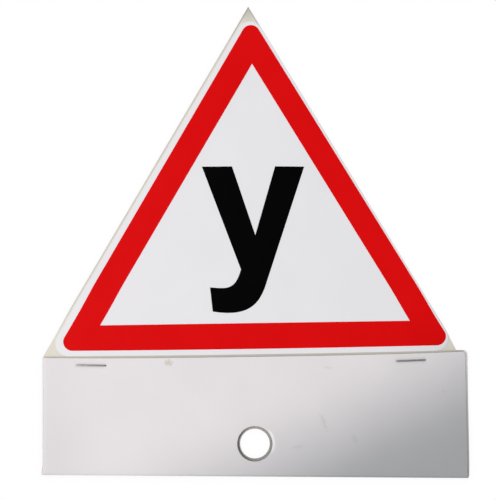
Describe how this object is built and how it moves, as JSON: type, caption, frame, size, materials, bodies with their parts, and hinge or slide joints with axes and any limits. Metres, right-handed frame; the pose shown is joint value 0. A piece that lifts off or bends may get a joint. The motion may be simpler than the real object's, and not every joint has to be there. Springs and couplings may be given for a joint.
{
  "type": "learner driver sticker",
  "caption": "Triangular learner driver sticker with a red border on its backing sheet, stapled into a folded header card with a round hang hole.",
  "frame": {"origin": "on the axis of the hang hole, on the outside of the card's back leaf", "axes": "+X to the right across the sign, +Y from the hang hole up to the tip of the triangle, +Z out of the printed face"},
  "size_m": [0.1813, 0.201, 0.0025],
  "materials": {
    "white_board": "coated white paper board, grey inside",
    "release_paper": "smooth cream release paper",
    "white_film": "semi-gloss white vinyl film",
    "red_ink": "solid red screen print",
    "black_ink": "solid black screen print",
    "staple_wire": "bright flattened steel wire"
  },
  "bodies": {
    "root": {"header_card": "white_board", "backing_sheet": "release_paper", "sticker_film": "white_film", "border_print": "red_ink", "staple_left": "staple_wire", "staple_right": "staple_wire"}
  },
  "joints": []
}
